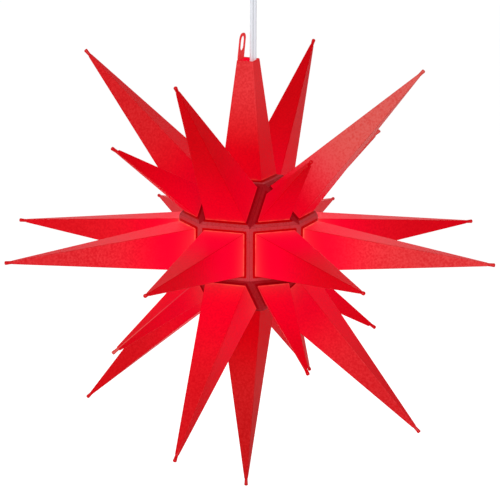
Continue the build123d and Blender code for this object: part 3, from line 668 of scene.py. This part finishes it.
        # The -Y side runs from the last corner to the first
        ledge = np.zeros(columns)
        ledge[[0, 1, 2, -3, -2, -1]] = 1.0, 1.0, 0.5, 0.5, 1.0, 1.0
        # How pale each column of a rim is drawn, a painted sheen; a rim gets painted shade where it is less
        # pale
        pale = sides_pale + (ledge_pale - sides_pale) * ledge
        # Painted sheen in a paler red on the walls of some points, and a painted highlight down some ridges
        chalk = PAINTED_SHEEN_POINTS.get(node, 0.0) * rise(height, 0.010, 0.040)
        line = np.isin(number, RIDGE_HIGHLIGHTS.get(node, ())) & (place > 0) & (place < arc - 1)
        chalk = np.maximum(chalk, RIDGE_HIGHLIGHT * line * outside * (height > s.collar_height))
        line_share = min(1.0, share) * (sides_pale + (1 - sides_pale) * ledge)
        grid = np.ones(points.shape[:2])
        values = {
            "lamplight": self.lamplight(dim, height, outside, ridge, share, close_rows),
            "wash": self.wash(away, height, share, close_rows) * outside,
            "foot_line": self.foot_line(height, outside) * line_share,
            "chalk": pale * rim + chalk,
            "shade": (1 - pale) * (height < s.collar_height * 0.9),
            "gloss": self.gloss(height) * grid,
        }
        poles = [
            None if cap is None else turn @ (np.array([0, 0, cap]) + lean * cap / self.tip) + shift
            for cap in caps
        ]
        return grid_mesh(world, close_rows, poles, smooth, values)

    def closed_point(self, node, light, lean, matrix):
        """A whole point: cavity, flange, shoulder, rim, collar, walls and stub, closed at both poles."""
        blunt = 0.0004
        cavity = self.neck * (self.foot - self.sizes.wall - blunt) / (self.foot - self.sizes.neck)
        sections = (
            (self.hollow_rows(cavity), False, False),
            (self.base_rows(), True, True),
            (self.wall_rows(self.neck * 0.997), True, False),
            (self.stub_rows(), True, True),
        )
        return self.surface(sections, node, light, lean, matrix, False, (cavity + blunt, self.tip))

    def open_point(self, node, light, lean, matrix):
        """The cut-off point: its wall turns over a rounded lip at the mouth and runs down inside."""
        s = self.sizes
        turn = np.linspace(0, math.pi, 7)
        half, round_over = s.wall / 2, 0.0004
        lip_wide = self.wall(s.mouth) - half + half * np.cos(turn)
        lip = (lip_wide, s.mouth - round_over * (1 - np.sin(turn)), np.full(7, 0.0005), np.zeros(7))
        sections = (
            (self.base_rows(), True, True),
            (self.wall_rows(s.mouth - 0.0006), True, False),
            (lip, True, True),
            (self.hollow_rows(s.mouth - 0.0008, 10), False, False),
        )
        return self.surface(sections, node, light, lean, matrix, True, (None, None))


def face_matrix(sizes, azimuth, elevation, inradius):
    """Frame on a face of the body: Z points out and X is level."""
    az, el = math.radians(azimuth), math.radians(elevation)
    out = Vector((math.cos(el) * math.sin(az), -math.cos(el) * math.cos(az), math.sin(el)))
    level = Vector((math.cos(az), math.sin(az), 0.0)) * (-1 if elevation < 0 else 1)
    centre = Vector((*sizes.offset, -sizes.drop))
    turned = Matrix((level, out.cross(level), out)).transposed().to_4x4()
    return Matrix.Translation(centre + out * inradius) @ turned


def outline_radius(turn, half_width, low, high, corner):
    """Distance from the origin to a rectangle with rounded corners, along each direction.

    The outline is walked in small steps, as complex numbers.
    """
    sweep = np.linspace(0, math.pi / 2, 25)
    walk = np.linspace(0, 1, 40, endpoint=False)
    right, top, bottom = half_width - corner, high - corner, low + corner
    centres = (right, top), (-right, top), (-right, bottom), (right, bottom)
    path = np.concatenate([
        complex(*centre) + corner * np.exp(1j * (sweep + quarter * math.pi / 2))
        for quarter, centre in enumerate(centres)
    ])
    path = (path[:, None] + (np.roll(path, -1) - path)[:, None] * walk).reshape(-1)
    heading = np.mod(np.angle(path), 2 * math.pi)
    order = np.argsort(heading)
    return np.interp(turn, heading[order], np.abs(path)[order], period=2 * math.pi)


def eyelet_mesh(sizes, spire, matrix):
    """Flat ring in the plane of the -X wall: a section with rounded edges carried round the hole.

    At each direction from the hole's centre the section runs between the hole's edge and the tab's
    outline; both faces are flat and the edges between them are half circles.
    """
    start = sizes.mouth - sizes.eyelet_root
    slope = (spire.foot - sizes.neck) / spire.neck
    along = Vector((slope, 0, 1)).normalized()
    inwards = Vector((0, 1, 0)).cross(along)
    height = (sizes.eyelet_height + sizes.eyelet_root) / along.z
    centre = sizes.eyelet_root + sizes.eyelet_centre
    turn = all_round(96)
    outer = outline_radius(turn, sizes.eyelet_width / 2, -centre, height - centre, sizes.eyelet_corner)
    width, tall = sizes.eyelet_hole
    inner = outline_radius(turn, width / 2, -tall / 2, tall / 2, width / 2 * 0.999)
    thick = sizes.wall * along.z
    inset = 0.00004
    edge = thick / 2 - inset
    rows = 7
    bow = np.linspace(-math.pi / 2, math.pi / 2, rows)
    out_r = outer[None, :] - edge + edge * np.cos(bow)[:, None]
    in_r = inner[None, :] + edge - edge * np.cos(bow)[:, None]
    radius = np.concatenate([out_r, in_r[::-1]])
    level = np.concatenate([edge * np.sin(bow), edge * np.sin(bow)[::-1]])[:, None] + thick / 2
    u = radius * np.cos(turn)
    v = radius * np.sin(turn) + centre
    origin = np.array([-spire.wall(start), 0, start])
    local = origin + u[..., None] * np.array([0, 1, 0]) + v[..., None] * np.array(along)
    local = local + level[..., None] * np.array(inwards)
    lean = np.array([*TOP_LEAN, 0.0]) * MILLIMETRE
    world = local + lean * (local[..., 2:] / spire.tip) + np.array(matrix.translation)
    smooth = np.ones(u.shape, bool)
    smooth[[rows - 1, 2 * rows - 1]] = False
    light = {"lamplight": 0.58, "wash": 0.9, "foot_line": 0.0, "chalk": 0.0, "shade": 0.0, "gloss": 1.0}
    values = {name: np.full(u.size, value) for name, value in light.items()}
    return grid_mesh(world, True, smooth=smooth, values=values)


def read_route(points):
    """Points along the smooth line of a route, read from its NURBS spline."""
    curve = bpy.data.curves.new("route", "CURVE")
    curve.dimensions = "3D"
    spline = curve.splines.new("NURBS")
    spline.points.add(len(points) - 1)
    for target, point in zip(spline.points, points):
        target.co = (*point, 1.0)
    spline.order_u = 3
    spline.use_endpoint_u = True
    spline.resolution_u = 12
    holder = bpy.data.objects.new("route", curve)
    mesh = bpy.data.meshes.new_from_object(holder)
    line = np.array([vertex.co for vertex in mesh.vertices])
    bpy.data.objects.remove(holder)
    bpy.data.curves.remove(curve)
    bpy.data.meshes.remove(mesh)
    return line


def flex_mesh(flex, line):
    """Flat twin flex along a line: two joined circles, with r = c|cos t| + sqrt(R^2 - c^2 sin^2 t).

    c is half the distance between the cores, R half the thickness, and |cos t| is rounded a little so
    that the groove has a soft floor. The vertex number "groove" is 1 on the groove's floor.
    """
    core = (flex.width - flex.thickness) / 2
    ring = flex.thickness / 2
    close = 0.02
    after, before = line[0] + close * (line[1] - line[0]), line[-1] + close * (line[-2] - line[-1])
    line = np.vstack([line[0], after, line[1:-1], before, line[-1]])
    turn = all_round(64)
    soft, fade = 0.006, 0.24
    side = np.sqrt(np.cos(turn) ** 2 + soft) - soft / 2 * np.cos(turn) ** 2
    radius = core * side + np.sqrt(ring ** 2 - (core * np.sin(turn)) ** 2)
    across, through = radius * np.cos(turn), radius * np.sin(turn)
    x = across * math.cos(flex.turn) - through * math.sin(flex.turn)
    y = across * math.sin(flex.turn) + through * math.cos(flex.turn)
    points = line[:, None] + np.stack([x, y, np.zeros_like(x)], axis=-1)
    groove = np.broadcast_to(np.exp(-((np.cos(turn) / fade) ** 2)), points.shape[:2])
    caps = (tuple(line[0]), tuple(line[-1]))
    return grid_mesh(points[:, ::-1], caps=caps, values={"groove": groove[:, ::-1]}, soft_caps=False)


def cover_mesh(rose, flex):
    """Rose cover: an outer and an inner profile joined at the rim and round the neck's bore."""
    low, rim, gap, wall, rounding = -rose.height, rose.rim_radius, rose.gap, rose.wall, rose.rounding
    turn = np.linspace(0, math.pi / 2, 14)
    centre = rose.low_radius - rounding
    inner_round = rounding - wall
    fillet = np.linspace(0, math.pi / 2, 7)
    soft = 0.0012
    outer_r = np.concatenate([
        [rim - 0.0006, rim - 0.0001, rim, rim - 0.0001, rim - 0.0007],
        np.linspace(rim - 0.0009, rose.low_radius, 4)[:-1],
        centre + rounding * np.cos(turn),
        np.linspace(centre - 0.003, rose.neck_high + soft + 0.0006, 6),
        rose.neck_high + soft - soft * np.sin(fillet),
        [rose.neck_low + 0.0001, rose.neck_low - 0.0001, rose.neck_low - 0.0006],
    ])
    outer_z = np.concatenate([
        [-gap, -gap - 0.0003, -gap - 0.0012, -gap - 0.0026, -gap - 0.0030],
        np.linspace(-gap - 0.0032, low + rounding, 4)[:-1],
        low + rounding - rounding * np.sin(turn),
        np.full(6, low),
        low - soft * (1 - np.cos(fillet)),
        [-flex.outlet + 0.0008, -flex.outlet + 0.0002, -flex.outlet],
    ])
    inner_r = np.concatenate([
        [rose.neck_bore + 0.0003, rose.neck_bore, rose.neck_bore],
        (centre + inner_round * np.cos(turn))[::-1],
        [rim - wall],
    ])
    inner_z = np.concatenate([
        [-flex.outlet, -flex.outlet + 0.0003, low + wall],
        (low + rounding - inner_round * np.sin(turn))[::-1],
        [-gap],
    ])
    points = turned_profile(np.concatenate([outer_r, inner_r]), np.concatenate([outer_z, inner_z]), 128)
    return grid_mesh(points[:, ::-1], True)


def thumb_mesh(rose, flex):
    """Thumb screw: the head's radius dips 16 times round its rim, fading out towards its chamfers."""
    start = flex.thickness / 2 + 0.0004
    shank, head, wide = rose.thumb_shank, rose.thumb_head, rose.thumb_radius
    slim, end = rose.thumb_shank_radius, shank + head
    chamfer, edge = wide - 0.0007, wide - 0.0002
    radius = np.array([
        slim - 0.0004, slim, slim, slim, chamfer, edge, wide, wide, wide, edge, chamfer, wide * 0.55,
        wide * 0.50, wide * 0.30,
    ])
    height = np.array([
        0.0, 0.0004, shank * 0.5, shank, shank, shank + 0.0002, shank + 0.0006, shank + head * 0.5,
        end - 0.0006, end - 0.0002, end, end, end - 0.0004, end - 0.0005,
    ])
    knurl = np.array([0, 0, 0, 0, 0.25, 0.8, 1, 1, 1, 0.8, 0.25, 0, 0, 0])
    columns, dips, deep = 160, 16, 0.075
    points = turned_profile(radius, height, columns)
    dip = 1 - deep * knurl[:, None] * np.clip(np.cos(dips * all_round(columns)), 0, 1)[None, :] ** 2
    points[..., :2] *= dip[..., None]
    out = np.array([math.sin(flex.turn), -math.cos(flex.turn), 0.0])
    level = np.array([math.cos(flex.turn), math.sin(flex.turn), 0.0])
    basis = np.stack([level, np.cross(out, level), out])
    axis = np.array([0, 0, -rose.thumb_level])
    world = points @ basis + out * start + axis
    ends = [out * (start + along) + axis for along in (0.0, height[-1])]
    return grid_mesh(world, caps=ends)


# ---- operators
class STAR_OT_points(bpy.types.Operator):
    """Build the 26 moulded points and the eyelet"""

    bl_idname = "star_pendant.points"
    bl_label = "Star points"

    def execute(self, context):
        """Put each kind of point on its faces."""
        sizes = context.scene.star_sizes
        finish = star_plastic(context.scene.star_finishes)
        spires = {sides: Spire(sizes, sides) for sides in (SQUARE, TRIANGLE)}
        meshes = {}
        for name, sides, elevation, first, step, *light in RINGS:
            spire = spires[sides]
            for number, (azimuth, lean) in enumerate(zip(range(first, 360, step), LEANS[name]), start=1):
                node = name if step == 360 else f"{name}_{number}"
                matrix = face_matrix(sizes, azimuth, elevation, spire.inradius)
                meshes[node] = spire.closed_point(node, light, lean, matrix)
        square = spires[SQUARE]
        high = Matrix.Translation(face_matrix(sizes, 0, 90, square.inradius).translation)
        meshes["top_point"] = square.open_point("top_point", TOP_LIGHT, TOP_LEAN, high)
        for node, mesh in meshes.items():
            add_piece(f"{node}_shell", mesh, "star", finish, (node,))
        add_piece("top_eyelet_tab", eyelet_mesh(sizes, square, high), "star", finish)
        return {"FINISHED"}


class STAR_OT_flex(bpy.types.Operator):
    """Build the free flex in two stretches"""

    bl_idname = "star_pendant.flex"
    bl_label = "Flex"

    def execute(self, context):
        """Lay each stretch along its route."""
        flex = context.scene.star_flex
        finish = flex_sheath(context.scene.star_finishes)
        upper, lower = (
            [(0.0, 0.0, -depth) for depth in (start, (start + end) / 2, end)]
            for start, end in ((flex.outlet, flex.front_bend), (flex.front_bend, flex.grip))
        )
        half = flex.bend / 2
        above = "flex_above", upper, ("flex_upper", "flex_middle"), ("rose", "flex_middle")
        below = "flex_below", lower, ("flex_lower",), ("flex_middle", "flex_lower")
        for name, route, nodes, bodies, start in ((*above, flex.side_bend - half), (*below, flex.front_bend)):
            line = read_route(route)
            piece = add_piece(name, flex_mesh(flex, line), None, finish, nodes)
            -start
            -start - flex.bend
            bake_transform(piece)
        return {"FINISHED"}


class STAR_OT_rose(bpy.types.Operator):
    """Build the rose's cover and its thumb screw"""

    bl_idname = "star_pendant.rose"
    bl_label = "Ceiling rose"

    def execute(self, context):
        """Turn the cover and the knurled screw."""
        rose, flex = context.scene.star_rose, context.scene.star_flex
        finish = moulded("rose_plastic", context.scene.star_finishes.white, 0.30)
        cover, screw = cover_mesh(rose, flex), thumb_mesh(rose, flex)
        add_piece("canopy_cover_shell", cover, "cover", finish, ("canopy_cover",))
        add_piece("thumb_screw_knurled", screw, "thumb_screw", finish, ("thumb_screw",))
        return {"FINISHED"}


class STAR_OT_finishes(bpy.types.Operator):
    """Give every other part of the pendant its finish"""

    bl_idname = "star_pendant.finishes"
    bl_label = "Inner finishes"

    def execute(self, context):
        """One material for each slot that the CAD parts name."""
        f = context.scene.star_finishes
        slots = {
            "flex_sheath": moulded("inner_flex_sheath", f.sheath, 0.30),
            "core_insulation": moulded("core_insulation", f.core, 0.34, 1400.0),
            "rose_plastic": moulded("rose_moulding", f.white, 0.34),
            "terminal_plastic": moulded("terminal_plastic", f.cream, 0.46),
            "grip_plastic": moulded("grip_plastic", f.white, 0.52, 700.0),
            "holder_plastic": moulded("holder_plastic", f.white, 0.40),
            "carrier_ceramic": moulded("carrier_ceramic", f.ceramic, 0.62, 1800.0, 0.00005),
            "plated_steel": metal("plated_steel", f.steel, 0.28),
            "contact_brass": metal("contact_brass", f.brass, 0.26, (1.0, 6.0, 1.0)),
            "lamp_base_metal": metal("lamp_base_metal", f.shell, 0.22, (1.0, 1.0, 5.0)),
            "lamp_insulator": moulded("lamp_insulator", f.black, 0.12),
            "lamp_housing_plastic": moulded("lamp_housing_plastic", f.white, 0.32),
            "lamp_glass": frosted("lamp_glass", f.globe),
        }
        for part in frame["record"]["subparts"]:
            finish = slots.get(part["material_slot"])
            node = frame["nodes"][part["node"]]
            if finish is None or node.hide_render:
                continue
            node.data.materials.clear()
            node.data.materials.append(finish)
        return {"FINISHED"}


class STAR_OT_stage(bpy.types.Operator):
    """Build the floor, the lights, the white surroundings and the camera"""

    bl_idname = "star_pendant.stage"
    bl_label = "Stage"

    def execute(self, context):
        """Set each part of the stage."""
        stage, sizes = context.scene.star_stage, context.scene.star_sizes
        self.camera(context.scene, stage, sizes)
        self.surroundings(context.scene, stage)
        self.floor(stage, sizes)
        centre = Vector((*sizes.offset, -sizes.drop))
        lights = {
            "key": ((1.0, -1.9, 0.9), 0.9), "fill": ((-1.4, -1.7, 0.5), 1.8), "back": ((-0.7, 1.9, 1.0), 1.8),
        }
        for name, (away, size) in lights.items():
            self.softbox(f"{name}_light", centre + Vector(away), Vector(away), size, getattr(stage, name))
        context.scene.view_settings.view_transform = "Standard"
        return {"FINISHED"}

    def camera(self, scene, stage, sizes):
        """Camera where the view's turns and distance put it, looking along its own axis."""
        roll_pitch = Matrix.Rotation(stage.pitch, 3, "X") @ Matrix.Rotation(stage.roll, 3, "Y")
        view = roll_pitch @ Matrix.Rotation(stage.yaw, 3, "Z")
        into_frame = Matrix.Rotation(stage.quarter, 3, "Z")
        right, ahead, above = (into_frame @ row for row in view)
        centre = Vector((*sizes.offset, -sizes.drop))
        place = centre - right * stage.across - ahead * stage.distance - above * stage.up
        data = bpy.data.cameras.new("camera")
        data.lens = stage.lens
        data.sensor_width = 36.0
        data.clip_start, data.clip_end = 0.05, 50.0
        camera = add_object("camera", data)
        turned = Matrix((right, above, -ahead)).transposed().to_4x4()
        camera.matrix_world = Matrix.Translation(place) @ turned
        scene.camera = camera

    def softbox(self, name, place, away, size, power):
        """Square soft light that faces back along its way from the star."""
        data = bpy.data.lights.new(name, "AREA")
        data.shape = "SQUARE"
        data.size = size
        data.energy = power
        turned = away.to_track_quat("Z", "Y").to_matrix().to_4x4()
        add_object(name, data).matrix_world = Matrix.Translation(place) @ turned

    def surroundings(self, scene, stage):
        """Even sky that a camera, mirror or glass sees as plain white."""
        g = Graph(bpy.data.worlds.new("surroundings"))
        even = g.light("ShaderNodeBackground", stage.sky)
        plain = g.light("ShaderNodeBackground", 1.0)
        mixed = g.node("ShaderNodeMixShader", None, {0: g.sees_background(), 1: even, 2: plain})
        scene.world = g.close(mixed, "ShaderNodeOutputWorld")

    def floor(self, stage, sizes):
        """Wide pale floor that keeps a shadow and is white to the camera elsewhere."""
        level = -sizes.drop - sizes.span / 2 - stage.floor_drop
        far = 9.0
        corners = [(-far, -far, level), (far, -far, level), (far, far, level), (-far, far, level)]
        mesh = bpy.data.meshes.new("floor")
        mesh.from_pydata(corners, [], [(0, 1, 2, 3)])
        floor = add_object("floor", mesh)
        f = Finish("floor_paper")
        tint = f.mix(f.noise(30.0, 4.0), (0.86, 0.86, 0.86), (0.90, 0.90, 0.90))
        paper = f.node("ShaderNodeBsdfDiffuse", None, {"Color": tint})
        lift = f.light("ShaderNodeEmission", stage.floor_lift)
        none = f.light("ShaderNodeEmission", 0.0)
        seen = f.node("ShaderNodeMixShader", None, {0: f.sees_background(), 1: none, 2: lift})
        mesh.materials.append(f.close(f.node("ShaderNodeAddShader", None, {0: paper, 1: seen})))


class STAR_PT_panel(bpy.types.Panel):
    """Sidebar panel with the pendant's settings and operators"""

    bl_idname = "STAR_PT_panel"
    bl_label = "Star Pendant"
    bl_space_type = "VIEW_3D"
    bl_region_type = "UI"
    bl_category = "Star Pendant"

    def draw(self, context):
        """Every setting, and one button for each operator."""
        for name, group in SETTINGS.items():
            for key in group.__annotations__:
                self.layout.prop(getattr(context.scene, name), key, text=key.replace("_", " ").capitalize())
        for operator in OPERATORS:
            self.layout.operator(operator.bl_idname)


SETTINGS = {
    "star_sizes": StarSizes, "star_flex": FlexSizes, "star_rose": RoseSizes, "star_finishes": Finishes,
    "star_stage": StageSettings,
}
OPERATORS = (STAR_OT_stage, STAR_OT_flex, STAR_OT_points, STAR_OT_rose, STAR_OT_finishes)
CLASSES = (*SETTINGS.values(), *OPERATORS, STAR_PT_panel)


def register():
    """Register the settings, operators and panel."""
    for kind in CLASSES:
        bpy.utils.register_class(kind)
    for name, group in SETTINGS.items():
        setattr(bpy.types.Scene, name, bpy.props.PointerProperty(type=group))


def unregister():
    """Take the settings, operators and panel away again."""
    for name in SETTINGS:
        delattr(bpy.types.Scene, name)
    for kind in reversed(CLASSES):
        bpy.utils.unregister_class(kind)


def main():
    """Register the settings and build the pendant."""
    register()
    bpy.ops.star_pendant.stage()
    bpy.ops.star_pendant.flex()
    bpy.ops.star_pendant.points()
    bpy.ops.star_pendant.rose()
    bpy.ops.star_pendant.finishes()


if __name__ == "__main__":
    main()
